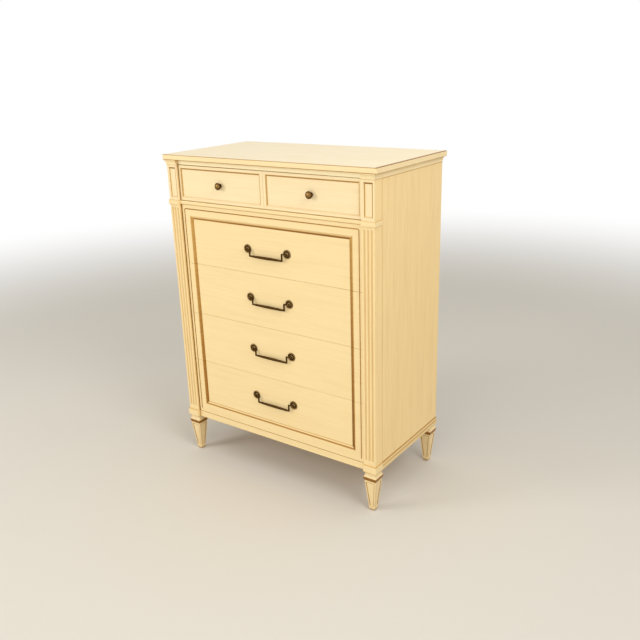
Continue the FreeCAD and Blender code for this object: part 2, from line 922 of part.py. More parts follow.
def leg(x, y):
    wide = collar_width
    along = leg_outline(lambda r, z: point(x + r, y - wide, z)).extrude(BACKWARD * (wide * 2))
    across = leg_outline(lambda r, z: point(x - wide, y + r, z)).extrude(ACROSS * (wide * 2))
    solid = along.common(across)
    for quarter_turns in range(4):
        solid = solid.cut(leg_panel_tool(x, y, quarter_turns))
    return solid.cut(rod(bolt_radius, bolt_in_leg, point(x, y, z_case - bolt_in_leg), UPWARD))


leg_places = {
    "front_leg_left": (-leg_x, y_front_leg),
    "front_leg_right": (leg_x, y_front_leg),
    "back_leg_left": (-leg_x, y_back_leg),
    "back_leg_right": (leg_x, y_back_leg),
}


def floor_glides():
    return group([rod(glide_radius, glide_height, point(x, y, 0), UPWARD)
                  for x, y in leg_places.values()])


def hanger_bolts():
    return group([rod(bolt_radius, bolt_in_leg + bolt_in_case,
                      point(x, y, z_case - bolt_in_leg), UPWARD)
                  for x, y in leg_places.values()])


def corner_blocks():
    """Blocks inside the back corners that take the bolts of the back legs."""
    block_solid = block(side_inner - corner_block_size, side_inner,
                        y_back_panel - corner_block_size, y_back_panel,
                        z_case, z_base_top - web_thickness)
    block_solid = block_solid.cut(bolt_hole(leg_x, y_back_leg))
    return group([mirrored(block_solid), block_solid])


# Screws

def top_screw_places():
    return [share * opening_half for share in top_screw_places_share]


def top_screw(x, y):
    """Screw driven up through a rail into the slab, its head sunk in the rail."""
    z_tip = z_slab + slab_thickness / 2
    shank = rod(case_screw_radius, top_screw_length, point(x, y, z_tip - top_screw_length), UPWARD)
    head = rod(case_screw_head_radius, case_screw_head_height,
               point(x, y, z_tip - top_screw_length), UPWARD)
    return shank.fuse(head).removeSplitter()


def back_screw_starts():
    """Screws through the back into the rabbets, one pair behind each layer of drawers."""
    x = side_inner + back_screw_inset
    tops = [z_low + thickness for z_low, thickness in web_levels]
    undersides = [z_low for z_low, thickness in web_levels[1:]] + [z_top_rail]
    return [point(side * x, y_case_back, (top + underside) / 2)
            for side in (-1, 1) for top, underside in zip(tops, undersides)]


def back_screw(start):
    shank = rod(case_screw_radius, back_screw_length, start, BACKWARD * -1)
    head = rod(case_screw_head_radius, case_screw_head_height, start, BACKWARD * -1)
    return shank.fuse(head).removeSplitter()


def case_screws():
    y_places = (y_front + front_thickness / 2, y_back_panel - rear_rail_depth / 2)
    screws = [top_screw(x, y) for x in top_screw_places() for y in y_places]
    screws += [back_screw(start) for start in back_screw_starts()]
    return group(screws)


def slab_with_screw_holes():
    slab = top_panel()
    for x in top_screw_places():
        for y in (y_front + front_thickness / 2, y_back_panel - rear_rail_depth / 2):
            slab = slab.cut(top_screw(x, y))
    return slab


def side_with_screw_holes():
    board_solid = side_panel()
    for start in back_screw_starts():
        if start.x > 0:
            board_solid = board_solid.cut(back_screw(start))
    board_solid = board_solid.cut(bolt_hole(leg_x, y_back_leg))
    return board_solid


# Every node of the part

small_box_middles = [sum(box_sides(opening)) / 2 for opening in small_openings]

nodes = {
    "top_panel": slab_with_screw_holes(),
    "cornice_left": mirrored(cornice()),
    "cornice_right": cornice(),
    "side_panel_left": mirrored(side_with_screw_holes()),
    "side_panel_right": side_with_screw_holes(),
    "front_post_left": mirrored(front_post()),
    "front_post_right": front_post(),
    "capitals": capitals(),
    "base_blocks": base_blocks(),
    "top_rail": top_rail(),
    "mid_rail": mid_rail(),
    "base_rail": base_rail(),
    "rear_rail": rear_rail(),
    "base_moulding_left": mirrored(base_moulding()),
    "base_moulding_right": base_moulding(),
    "back_panel": back_panel(),
    "centre_divider": centre_divider(),
    "bottom_web_frame": web_frame(web_levels[0], [0]),
    "web_frame_3": web_frame(web_levels[1], [0]),
    "web_frame_2": web_frame(web_levels[2], [0]),
    "web_frame_1": web_frame(web_levels[3], [0]),
    "upper_web_frame": web_frame(web_levels[4], [0] + small_box_middles),
    "drawer_guides": drawer_guides(),
    "corner_blocks": corner_blocks(),
    "floor_glides": floor_glides(),
    "hanger_bolts": hanger_bolts(),
    "case_screws": case_screws(),
}

for leg_name, (leg_place_x, leg_place_y) in leg_places.items():
    nodes[leg_name] = leg(leg_place_x, leg_place_y)

for index in range(len(large_openings)):
    name = "large_drawer_" + str(index + 1)
    nodes[name + "_front"] = large_front(index)
    nodes[name + "_box"] = drawer_box(large_openings[index])
    nodes[name + "_bottom"] = drawer_bottom(large_openings[index])
    nodes["pull_posts_" + str(index + 1)] = pull_posts(index)
    nodes["bail_" + str(index + 1)] = bail(index)

for index, side_name in enumerate(("left", "right")):
    name = "small_drawer_" + side_name
    nodes[name + "_front"] = small_front(index)
    nodes[name + "_box"] = drawer_box(small_openings[index])
    nodes[name + "_bottom"] = drawer_bottom(small_openings[index])
    nodes["knob_" + side_name] = knob(index)

os.makedirs("parts", exist_ok=True)
for node_name, node_shape in nodes.items():
    node_shape.exportStep(os.path.join("parts", node_name + ".step"))
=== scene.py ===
import bpy
import math
from mathutils import Matrix, Vector


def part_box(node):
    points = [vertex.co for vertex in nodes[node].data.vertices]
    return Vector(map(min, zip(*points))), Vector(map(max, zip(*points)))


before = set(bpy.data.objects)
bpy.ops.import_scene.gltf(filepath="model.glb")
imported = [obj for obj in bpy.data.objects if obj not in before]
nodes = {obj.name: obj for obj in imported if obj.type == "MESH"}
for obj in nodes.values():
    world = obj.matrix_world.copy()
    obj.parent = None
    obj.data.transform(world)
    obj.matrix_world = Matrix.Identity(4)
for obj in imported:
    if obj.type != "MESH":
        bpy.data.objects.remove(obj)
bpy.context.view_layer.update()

# Camera
# The photograph was taken from the right of the chest, a little above its top, looking down.
# Place, turn and focal length were solved from the chest's own edges.

camera_place = (1.633788, -2.187049, 1.551352)
camera_yaw = 0.622824
camera_pitch = 0.339097
camera_roll = -0.030433
focal_pixels = 735.05
picture_pixels = 640
sensor_width = 36.0
camera_reach = 100

camera_data = bpy.data.cameras.new("photo_camera")
camera_data.sensor_width = sensor_width
camera_data.lens = focal_pixels / picture_pixels * sensor_width
camera_data.clip_end = camera_reach
camera = bpy.data.objects.new("photo_camera", camera_data)
bpy.context.scene.collection.objects.link(camera)
ahead = Vector((-math.sin(camera_yaw) * math.cos(camera_pitch),
                math.cos(camera_yaw) * math.cos(camera_pitch),
                -math.sin(camera_pitch)))
level = Vector((math.cos(camera_yaw), math.sin(camera_yaw), 0))
upright = level.cross(ahead)
right = math.cos(camera_roll) * level + math.sin(camera_roll) * upright
up = -math.sin(camera_roll) * level + math.cos(camera_roll) * upright
turn = Matrix((right, up, -ahead)).transposed().to_4x4()
camera.matrix_world = Matrix.Translation(Vector(camera_place)) @ turn
bpy.context.scene.camera = camera

# Floor
# A plain pale studio floor, matt. Near the chest it takes the shadow, and further out it runs
# into the same white as the background.

floor_colour = "#DDD7CB"
floor_half = 30.0
floor_fade_start = 2200.0
floor_fade_end = 5500.0
white = (1, 1, 1, 1)
mm = 0.001


def linear(colour):
    """An sRGB hex colour as the linear values that a shader takes."""
    parts = [int(colour[place:place + 2], 16) / 255 for place in (1, 3, 5)]
    turned = [part / 12.92 if part <= 0.04045 else ((part + 0.055) / 1.055) ** 2.4
              for part in parts]
    return (*turned, 1.0)


def add_node(tree, kind, settings=None, feeds=None, stops=None):
    """Adds a node, sets it, and links or fills its inputs; stops fill a colour ramp."""
    added = tree.nodes.new(kind)
    for setting, value in (settings or {}).items():
        setattr(added, setting, value)
    if stops:
        ramp = added.color_ramp
        while len(ramp.elements) < len(stops):
            ramp.elements.new(1.0)
        for element, (place, colour) in zip(ramp.elements, stops):
            element.position = place
            element.color = colour
    for socket, feed in (feeds or {}).items():
        if isinstance(feed, bpy.types.NodeSocket):
            tree.links.new(feed, added.inputs[socket])
        else:
            added.inputs[socket].default_value = feed
    return added


def start_finish(name):
    """Starts a material, and gives it with its empty tree and the place in millimetres."""
    material = bpy.data.materials.new(name)
    material.use_nodes = True
    tree = material.node_tree
    tree.nodes.clear()
    place = add_node(tree, "ShaderNodeTexCoord")
    in_mm = add_node(tree, "ShaderNodeVectorMath", {"operation": "SCALE"}, {
        0: place.outputs["Object"], "Scale": 1 / mm})
    return material, tree, in_mm.outputs["Vector"]


def shows_background(tree):
    """Is 1 for a ray from the camera, or one that metal or glass sends on, and 0 for light."""
    path = add_node(tree, "ShaderNodeLightPath")
    sent_on = add_node(tree, "ShaderNodeMath", {"operation": "MAXIMUM"}, {
        0: path.outputs["Is Glossy Ray"], 1: path.outputs["Is Transmission Ray"]})
    seen = add_node(tree, "ShaderNodeMath", {"operation": "MAXIMUM"}, {
        0: path.outputs["Is Camera Ray"], 1: sent_on.outputs["Value"]})
    return seen.outputs["Value"]


floor_mesh = bpy.data.meshes.new("studio_floor")
floor_mesh.from_pydata([
    (-floor_half, -floor_half, 0), (floor_half, -floor_half, 0),
    (floor_half, floor_half, 0), (-floor_half, floor_half, 0)], [], [(0, 1, 2, 3)])
floor_mesh.update()
floor = bpy.data.objects.new("studio_floor", floor_mesh)
bpy.context.scene.collection.objects.link(floor)
floor_paint, tree, in_mm = start_finish("matt_studio_floor")
distance = add_node(tree, "ShaderNodeVectorMath", {"operation": "LENGTH"}, {0: in_mm})
fade = add_node(tree, "ShaderNodeMapRange", {"interpolation_type": "SMOOTHSTEP"}, {
    "Value": distance.outputs["Value"],
    "From Min": floor_fade_start, "From Max": floor_fade_end})
share = add_node(tree, "ShaderNodeMath", {"operation": "MULTIPLY"}, {
    0: fade.outputs["Result"], 1: shows_background(tree)})
matt = add_node(tree, "ShaderNodeBsdfDiffuse", {}, {"Color": linear(floor_colour)})
background = add_node(tree, "ShaderNodeEmission", {}, {"Color": white, "Strength": 1.0})
mixed = add_node(tree, "ShaderNodeMixShader", {}, {
    0: share.outputs["Value"], 1: matt.outputs["BSDF"], 2: background.outputs["Emission"]})
add_node(tree, "ShaderNodeOutputMaterial", {}, {"Surface": mixed.outputs["Shader"]})
floor.data.materials.append(floor_paint)

# Lamps
# A large soft lamp from the left front, a weak one straight in front, one from the right, a
# broad one overhead, and an even pale sky.

key_place = (-2.5, -3.1, 2.3)
key_size = 1.6
key_power = 51
front_place = (0.9, -3.5, 1.25)
front_size = 1.8
front_power = 18
fill_place = (3.0, -1.3, 3.3)
fill_size = 2.2
fill_power = 52
overhead_place = (1.2, 0.4, 3.8)
overhead_size = 3.0
overhead_power = 14
sky_strength = 0.60
aim = Vector((0, 0, 0.7))

for lamp_name, lamp_place, lamp_size, lamp_power in (
        ("key_lamp", key_place, key_size, key_power),
        ("front_lamp", front_place, front_size, front_power),
        ("fill_lamp", fill_place, fill_size, fill_power),
        ("overhead_lamp", overhead_place, overhead_size, overhead_power)):
    lamp_data = bpy.data.lights.new(lamp_name, "AREA")
    lamp_data.shape = "DISK"
    lamp_data.size = lamp_size
    lamp_data.energy = lamp_power
    lamp = bpy.data.objects.new(lamp_name, lamp_data)
    lamp.location = lamp_place
    lamp.rotation_euler = (aim - Vector(lamp_place)).to_track_quat("-Z", "Y").to_euler()
    bpy.context.scene.collection.objects.link(lamp)

world = bpy.data.worlds.new("studio_sky")
world.use_nodes = True
bpy.context.scene.world = world
tree = world.node_tree
tree.nodes.clear()
strength = add_node(tree, "ShaderNodeMapRange", {}, {
    "Value": shows_background(tree), "To Min": sky_strength, "To Max": 1.0})
sky = add_node(tree, "ShaderNodeBackground", {}, {
    "Color": white, "Strength": strength.outputs["Result"]})
add_node(tree, "ShaderNodeOutputWorld", {}, {"Surface": sky.outputs["Background"]})
bpy.context.scene.view_settings.view_transform = "Standard"

# Top slab
# A solid board with eased edges, in cream lacquer. A brown glaze was brushed over the lacquer
# and wiped back, so it stays in fine streaks and in a thin line along each edge. It gives a
# warm satin cream whose hollows are drawn in brown.

# The lacquer as most pieces show it; a paler copy for the top face, painted light; the tone
# on edges; and the streaks on it.
cream = "#F6DCA4"
top_lit_cream = "#F9E8BF"
cream_edge = "#F7DFAB"
streak_tan = "#DDB777"
# The colour through a film of glaze, from none to the thickest.
glaze_film = ((0.0, "#FFFFFF"), (0.28, "#D0B47E"), (0.56, "#A67F3C"), (1.0, "#70480C"))
# Single brush hairs and whole locks of them leave streaks this far apart and this long.
hair_gap, hair_length = 4, 150
lock_gap, lock_length = 26, 300
hair_noise = {"Scale": 1.0, "Detail": 3.0, "Roughness": 0.6}
lock_noise = {"Scale": 1.0, "Detail": 2.0, "Roughness": 0.5}
lock_share = 0.35
streak_start, streak_full = 0.42, 0.72
streaks_usual = 0.30
# The noise of the hairs lies between these, and moves the film and the gloss with it.
noise_low, noise_high = 0.3, 0.7
film_low, film_high = 0.78, 1.05
satin_low, satin_high = 0.36, 0.46
lacquer_ior = 1.48
lacquer_specular = 0.35
brush_relief = 0.06 * mm
brush_relief_strength = 0.5


def glazed_lacquer(name, along, streak_share=streaks_usual):
    """Lacquered wood with a wiped glaze whose streaks run along one axis.

    Returns the tree, the place in millimetres split in X, Y and Z, and a function that closes
    the material with a mask of how thick the film of glaze is.
    """
    material, tree, in_mm = start_finish(name)
    split = add_node(tree, "ShaderNodeSeparateXYZ", {}, {0: in_mm})
    noises = []
    for gap, length, noise in ((hair_gap, hair_length, hair_noise),
                               (lock_gap, lock_length, lock_noise)):
        stretch = [1 / length if axis == along else 1 / gap for axis in "XYZ"]
        stretched = add_node(tree, "ShaderNodeVectorMath", {"operation": "MULTIPLY"}, {
            0: in_mm, 1: stretch})
        noises.append(add_node(tree, "ShaderNodeTexNoise", {}, {
            "Vector": stretched.outputs["Vector"], **noise}).outputs[0])
    hairs, locks = noises
    both = add_node(tree, "ShaderNodeMix", {"data_type": "FLOAT"}, {
        "Factor": lock_share, 2: hairs, 3: locks})
    streaks = add_node(tree, "ShaderNodeMapRange", {}, {
        "Value": both.outputs[0], "From Min": streak_start, "From Max": streak_full,
        "To Max": streak_share})

    def close(mask, base=linear(cream)):
        tone = add_node(tree, "ShaderNodeMix", {"data_type": "RGBA"}, {
            "Factor": streaks.outputs["Result"], 6: base, 7: linear(streak_tan)})
        # The film darkens what lies under it from amber to brown as it gets thicker, and its
        # edge breaks up along the brush streaks.
        broken = add_node(tree, "ShaderNodeMapRange", {}, {
            "Value": hairs, "From Min": noise_low, "From Max": noise_high,
            "To Min": film_low, "To Max": film_high})
        held = add_node(tree, "ShaderNodeMath", {"operation": "MULTIPLY", "use_clamp": True}, {
            0: mask, 1: broken.outputs["Result"]})
        film = add_node(tree, "ShaderNodeValToRGB", {}, {"Fac": held.outputs["Value"]}, [
            (thickness, linear(tint)) for thickness, tint in glaze_film])
        colour = add_node(tree, "ShaderNodeMix", {"data_type": "RGBA", "blend_type": "MULTIPLY"}, {
            "Factor": 1.0, 6: tone.outputs[2], 7: film.outputs["Color"]})
        satin = add_node(tree, "ShaderNodeMapRange", {}, {
            "Value": hairs, "From Min": noise_low, "From Max": noise_high,
            "To Min": satin_low, "To Max": satin_high})
        bump = add_node(tree, "ShaderNodeBump", {}, {
            "Height": hairs, "Distance": brush_relief, "Strength": brush_relief_strength})
        shader = add_node(tree, "ShaderNodeBsdfPrincipled", {}, {
            "Base Color": colour.outputs[2], "Roughness": satin.outputs["Result"],
            "Normal": bump.outputs["Normal"], "IOR": lacquer_ior,
            "Specular IOR Level": lacquer_specular})
        add_node(tree, "ShaderNodeOutputMaterial", {}, {"Surface": shader.outputs["BSDF"]})
        return material

    return tree, split, close


def dress(material, *node_names):
    """Gives carried pieces their finish, in every slot."""
    for node_name in node_names:
        piece = nodes[node_name]
        if not piece.data.materials:
            piece.data.materials.append(material)
        for slot in piece.material_slots:
            slot.material = material


slab_low, slab_high = (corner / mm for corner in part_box("top_panel"))
broad_streaks = 0.22
# Heights above the foot and below the top where a line of glaze starts and is full.
foot_line_start, foot_line_full = 2.4, 1.2
top_line_start, top_line_full = 1.8, 1.0
foot_line_hold, foot_line_front_hold = 0.25, 0.75
# How far the upper line reaches in from the right end and from the front.
end_line_start, end_line_full, end_line_hold = 9.0, 8.0, 0.75
front_line_start, front_line_full, front_line_hold = 6.0, 5.0, 0.5
front_face_depth = 0.6
top_face_depth = 0.3
rim_limit = 0.1

tree, split, close = glazed_lacquer("glazed_lacquer_top", "X", broad_streaks)
# A line of glaze runs along the lower edge, darker in front.
low_edge = add_node(tree, "ShaderNodeMapRange", {}, {
    "Value": split.outputs["Z"], "From Min": slab_low.z + foot_line_start,
    "From Max": slab_low.z + foot_line_full})
in_front = add_node(tree, "ShaderNodeMath", {"operation": "LESS_THAN"}, {
    0: split.outputs["Y"], 1: slab_low.y + front_face_depth})
low_share = add_node(tree, "ShaderNodeMix", {"data_type": "FLOAT"}, {
    "Factor": in_front.outputs["Value"], 2: foot_line_hold, 3: foot_line_front_hold})
low_hold = add_node(tree, "ShaderNodeMath", {"operation": "MULTIPLY"}, {
    0: low_edge.outputs["Result"], 1: low_share.outputs[0]})
# Another runs along the upper edge of the front and of the right end, where it is darkest.
high_edge = add_node(tree, "ShaderNodeMapRange", {}, {
    "Value": split.outputs["Z"], "From Min": slab_high.z - top_line_start,
    "From Max": slab_high.z - top_line_full})
at_end = add_node(tree, "ShaderNodeMapRange", {}, {
    "Value": split.outputs["X"], "From Min": slab_high.x - end_line_start,
    "From Max": slab_high.x - end_line_full, "To Max": end_line_hold})
at_front = add_node(tree, "ShaderNodeMapRange", {}, {
    "Value": split.outputs["Y"], "From Min": slab_low.y + front_line_start,
    "From Max": slab_low.y + front_line_full, "To Max": front_line_hold})
at_rim = add_node(tree, "ShaderNodeMath", {"operation": "MAXIMUM"}, {
    0: at_end.outputs["Result"], 1: at_front.outputs["Result"]})
rim_hold = add_node(tree, "ShaderNodeMath", {"operation": "MULTIPLY"}, {
    0: high_edge.outputs["Result"], 1: at_rim.outputs["Value"]})
edge_hold = add_node(tree, "ShaderNodeMath", {"operation": "MAXIMUM"}, {
    0: low_hold.outputs["Value"], 1: rim_hold.outputs["Value"]})
# The top face takes a paler cream than its edges, painted light for the light from above.
on_top = add_node(tree, "ShaderNodeMath", {"operation": "GREATER_THAN"}, {
    0: split.outputs["Z"], 1: slab_high.z - top_face_depth})
off_rim = add_node(tree, "ShaderNodeMath", {"operation": "LESS_THAN"}, {
    0: at_rim.outputs["Value"], 1: rim_limit})
on_lit_top = add_node(tree, "ShaderNodeMath", {"operation": "MULTIPLY"}, {
    0: on_top.outputs["Value"], 1: off_rim.outputs["Value"]})
top_lit_tone = add_node(tree, "ShaderNodeMix", {"data_type": "RGBA"}, {
    "Factor": on_lit_top.outputs["Value"], 6: linear(cream_edge), 7: linear(top_lit_cream)})
dress(close(edge_hold.outputs["Value"], top_lit_tone.outputs[2]), "top_panel")

# Cove moulding
# A mitred strip of solid wood under the slab, along both sides and over both posts. Glaze
# stays along its foot and its lip, and the hollow between them is a pale cream, painted light
# that lifts the shade under the slab.

cove_lit_cream = "#FDE7B4"
# How thick the film is at each share of the height.
cove_film = ((0.0, 0.4), (0.09, 0.04), (0.62, 0.02), (0.80, 0.10), (0.90, 0.04), (1.0, 0.15))
cove_low, cove_high = (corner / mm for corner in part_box("cornice_right"))


def film_stops(film):
    """Turns pairs of place and thickness of the film into the stops of a ramp."""
    return [(place, (hold, hold, hold, 1)) for place, hold in film]


tree, split, close = glazed_lacquer("glazed_lacquer_cove", "Y")
rise = add_node(tree, "ShaderNodeMapRange", {}, {
    "Value": split.outputs["Z"], "From Min": cove_low.z, "From Max": cove_high.z})
hold = add_node(tree, "ShaderNodeValToRGB", {}, {"Fac": rise.outputs["Result"]},
                film_stops(cove_film))
dress(close(hold.outputs["Color"], linear(cove_lit_cream)), "cornice_left", "cornice_right")

# Side boards
# Wide glued-up boards behind the posts, in a warmer cream that paints the shade of the side
# faces. Their glaze was brushed from top to bottom and is a little heavier where the brush
# stopped, at the post and at the cove.

side_shade_cream = "#F9DA9C"
side_streaks = 0.42
post_stop, post_stop_hold = 5.0, 0.22
cove_stop, cove_stop_hold = 3.5, 0.25
side_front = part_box("side_panel_right")[0].y / mm

tree, split, close = glazed_lacquer("glazed_lacquer_sides", "Z", side_streaks)
from_post = add_node(tree, "ShaderNodeMapRange", {}, {
    "Value": split.outputs["Y"], "From Min": side_front + post_stop, "From Max": side_front,
    "To Max": post_stop_hold})
below_cove = add_node(tree, "ShaderNodeMapRange", {}, {
    "Value": split.outputs["Z"], "From Min": cove_low.z - cove_stop, "From Max": cove_low.z,
    "To Max": cove_stop_hold})
edges = add_node(tree, "ShaderNodeMath", {"operation": "MAXIMUM"}, {
    0: from_post.outputs["Result"], 1: below_cove.outputs["Result"]})
dress(close(edges.outputs["Value"], linear(side_shade_cream)), "side_panel_left", "side_panel_right")

# Corner posts
# Solid posts with three round-ended flutes cut by a cutter, and a sunk panel above the
# capital. Wiped glaze is left in every hollow, so the flutes read as soft brown stripes.

# A paler cream for the upper fronts, painted light from above.
upper_lit_cream = "#F8E2B3"
post_low, post_high = (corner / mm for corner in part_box("front_post_right"))
capital_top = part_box("capitals")[1].z / mm
hollow_depth = 2.8
flute_film = ((0.0, 0.0), (0.3, 0.02), (0.6, 0.1), (1.0, 0.16))
# The outline of the film on the sunk panel, from the middle of the post.
post_film_x = 1.75
post_film_z = 1135.25
post_film_half_x = 18.05
post_film_half_z = 57.0
post_film_reach = 8.0
post_panel_film = ((0.2, 0.0), (0.34, 1.0), (0.76, 1.0), (0.9, 0.3), (1.0, 0.0))
post_upper_hold, post_side_hold, post_lower_hold = 0.75, 0.42, 0.17
# The film on the front face ends this far from its outer and its inner edge.
post_outer_edge, post_inner_edge = 2.0, 1.0
post_face_depth = 0.3
inner_reach = 10.0
inner_glaze_and_shade = ((0.35, 0.0), (0.5, 0.18), (0.75, 0.2), (0.9, 0.75))


def past_outline(tree, across, height, half_x, half_z):
    """How far a point lies past the sides, past the ends and past either of an outline.

    across and height give the place from the middle of the outline.
    """
    past = []
    for place, half in ((across, half_x), (height, half_z)):
        off = add_node(tree, "ShaderNodeMath", {"operation": "ABSOLUTE"}, {0: place})
        past.append(add_node(tree, "ShaderNodeMath", {"operation": "SUBTRACT"}, {
            0: off.outputs["Value"], 1: half}).outputs["Value"])
    either = add_node(tree, "ShaderNodeMath", {"operation": "MAXIMUM"}, {
        0: past[0], 1: past[1]})
    return past[0], past[1], either.outputs["Value"]


tree, split, close = glazed_lacquer("glazed_lacquer_posts", "Z")
depth = add_node(tree, "ShaderNodeMapRange", {}, {
    "Value": split.outputs["Y"], "From Min": post_low.y, "From Max": post_low.y + hollow_depth})
flute_hold = add_node(tree, "ShaderNodeValToRGB", {}, {"Fac": depth.outputs["Result"]},
                      film_stops(flute_film))
# The film follows the sunk panel's slopes and was wiped a little to the right on both posts.
off_middle = add_node(tree, "ShaderNodeMath", {"operation": "ABSOLUTE"}, {
    0: split.outputs["X"]})
side_sign = add_node(tree, "ShaderNodeMath", {"operation": "SIGN"}, {
    0: split.outputs["X"]})
off_post = add_node(tree, "ShaderNodeMath", {"operation": "SUBTRACT"}, {
    0: off_middle.outputs["Value"], 1: (post_low.x + post_high.x) / 2})
to_right = add_node(tree, "ShaderNodeMath", {"operation": "MULTIPLY"}, {
    0: off_post.outputs["Value"], 1: side_sign.outputs["Value"]})
from_film_x = add_node(tree, "ShaderNodeMath", {"operation": "SUBTRACT"}, {
    0: to_right.outputs["Value"], 1: post_film_x})
from_film_z = add_node(tree, "ShaderNodeMath", {"operation": "SUBTRACT"}, {
    0: split.outputs["Z"], 1: post_film_z})
past_side, past_end, past = past_outline(
    tree, from_film_x.outputs["Value"], from_film_z.outputs["Value"],
    post_film_half_x, post_film_half_z)
share = add_node(tree, "ShaderNodeMapRange", {}, {
    "Value": past, "From Min": -post_film_reach, "From Max": 0.0})
panel_hold = add_node(tree, "ShaderNodeValToRGB", {}, {"Fac": share.outputs["Result"]},
                      film_stops(post_panel_film))
# The upper end holds the most glaze and the lower end the least.
in_upper = add_node(tree, "ShaderNodeMath", {"operation": "GREATER_THAN"}, {
    0: from_film_z.outputs["Value"], 1: 0.0})
end_hold = add_node(tree, "ShaderNodeMix", {"data_type": "FLOAT"}, {
    "Factor": in_upper.outputs["Value"], 2: post_lower_hold, 3: post_upper_hold})
at_panel_end = add_node(tree, "ShaderNodeMath", {"operation": "GREATER_THAN"}, {
    0: past_end, 1: past_side})
slope_hold = add_node(tree, "ShaderNodeMix", {"data_type": "FLOAT"}, {
    "Factor": at_panel_end.outputs["Value"], 2: post_side_hold, 3: end_hold.outputs[0]})
panel_slopes = add_node(tree, "ShaderNodeMath", {"operation": "MULTIPLY"}, {
    0: panel_hold.outputs["Color"], 1: slope_hold.outputs[0]})
above = add_node(tree, "ShaderNodeMath", {"operation": "GREATER_THAN"}, {
    0: split.outputs["Z"], 1: capital_top})
hold = add_node(tree, "ShaderNodeMix", {"data_type": "FLOAT"}, {
    "Factor": above.outputs["Value"], 2: flute_hold.outputs["Color"],
    3: panel_slopes.outputs["Value"]})
within = add_node(tree, "ShaderNodeMath", {"operation": "LESS_THAN"}, {
    0: off_middle.outputs["Value"], 1: post_high.x - post_outer_edge})
off_inner = add_node(tree, "ShaderNodeMath", {"operation": "GREATER_THAN"}, {
    0: off_middle.outputs["Value"], 1: post_low.x + post_inner_edge})
front_only = add_node(tree, "ShaderNodeMath", {"operation": "MULTIPLY"}, {
    0: within.outputs["Value"], 1: off_inner.outputs["Value"]})
hollows = add_node(tree, "ShaderNodeMath", {"operation": "MULTIPLY"}, {
    0: hold.outputs[0], 1: front_only.outputs["Value"]})
# The inner face of each post keeps a dark film beside the drawers, glaze and painted shade in
# the gap, darkest furthest in.
inner_depth = add_node(tree, "ShaderNodeMapRange", {}, {
    "Value": split.outputs["Y"], "From Min": post_low.y, "From Max": post_low.y + inner_reach})
beside = add_node(tree, "ShaderNodeValToRGB", {}, {"Fac": inner_depth.outputs["Result"]},
                  film_stops(inner_glaze_and_shade))
on_inner = add_node(tree, "ShaderNodeMath", {"operation": "LESS_THAN"}, {
    0: off_middle.outputs["Value"], 1: post_low.x + post_face_depth})
inner_face = add_node(tree, "ShaderNodeMath", {"operation": "MULTIPLY"}, {
    0: beside.outputs["Color"], 1: on_inner.outputs["Value"]})
mask = add_node(tree, "ShaderNodeMath", {"operation": "MAXIMUM"}, {
    0: hollows.outputs["Value"], 1: inner_face.outputs["Value"]})
# Above the capital the post takes the paler upper cream, painted light from above; its outer face
# takes the sides' warmer cream, the same painted shade as theirs.
on_outer = add_node(tree, "ShaderNodeMath", {"operation": "GREATER_THAN"}, {
    0: off_middle.outputs["Value"], 1: post_high.x - post_face_depth})
by_height = add_node(tree, "ShaderNodeMix", {"data_type": "RGBA"}, {
    "Factor": above.outputs["Value"], 6: linear(cream), 7: linear(upper_lit_cream)})
by_face = add_node(tree, "ShaderNodeMix", {"data_type": "RGBA"}, {
    "Factor": on_outer.outputs["Value"], 6: by_height.outputs[2], 7: linear(side_shade_cream)})
dress(close(mask.outputs["Value"], by_face.outputs[2]), "front_post_left", "front_post_right")

# Capital bands and base blocks
# Small mitred blocks planted on the posts. Glaze gathers in the joint lines above and below.

capital_line, capital_foot_hold, capital_top_hold = 1.4, 0.3, 0.24
block_line, block_foot_hold, block_top_hold = 2.4, 0.8, 0.26


def film_at_ends(tree, height, low, high, line, foot_hold, top_hold):
    """A mask of the glaze along the foot and the top of a piece, each as high as line."""
    near_foot = add_node(tree, "ShaderNodeMapRange", {}, {
        "Value": height, "From Min": low + line, "From Max": low, "To Max": foot_hold})
    near_top = add_node(tree, "ShaderNodeMapRange", {}, {
        "Value": height, "From Min": high - line, "From Max": high, "To Max": top_hold})
    both = add_node(tree, "ShaderNodeMath", {"operation": "MAXIMUM"}, {
        0: near_foot.outputs["Result"], 1: near_top.outputs["Result"]})
    return both.outputs["Value"]


for node_name, line, foot_hold, top_hold in (
        ("capitals", capital_line, capital_foot_hold, capital_top_hold),
        ("base_blocks", block_line, block_foot_hold, block_top_hold)):
    band_low, band_high = (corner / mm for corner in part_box(node_name))
    tree, split, close = glazed_lacquer("glazed_lacquer_" + node_name, "X")
    dress(close(film_at_ends(tree, split.outputs["Z"], band_low.z, band_high.z,
                             line, foot_hold, top_hold)), node_name)

# Rails
# Three front rails: a plain one under the slab, wiped almost clean and given a paler cream,
# painted light in the slab's shade, a rounded one under the small drawers, and the base rail.
# They are glued between the posts.

# A paler cream for the top rail, painted light in the shade under the slab.
rail_lit_cream = "#FDEFC2"
rail_line = 1.5
# How thick the film is at the left and right of the foot, and at the top.
top_rail_holds = (0.9, 0.0, 0.0)
mid_rail_holds = (0.12, 0.12, 0.12)
base_rail_holds = (0.3, 0.3, 0.5)

for node_name, holds, tone in (("top_rail", top_rail_holds, rail_lit_cream),
                               ("mid_rail", mid_rail_holds, cream),
                               ("base_rail", base_rail_holds, cream)):
    rail_low, rail_high = (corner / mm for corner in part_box(node_name))
    foot_left, foot_right, top_hold = holds
    tree, split, close = glazed_lacquer("glazed_lacquer_" + node_name, "X", broad_streaks)
    foot_hold = add_node(tree, "ShaderNodeMapRange", {}, {
        "Value": split.outputs["X"], "From Min": rail_low.x, "From Max": rail_high.x,
        "To Min": foot_left, "To Max": foot_right})
    mask = film_at_ends(tree, split.outputs["Z"], rail_low.z, rail_high.z, rail_line,
                        foot_hold.outputs["Result"], top_hold)
    dress(close(mask, linear(tone)), node_name)

# Base moulding
# A planed strip along the foot of each side, in two bands with a small step between them.
# Glaze stays on the step and along the top.

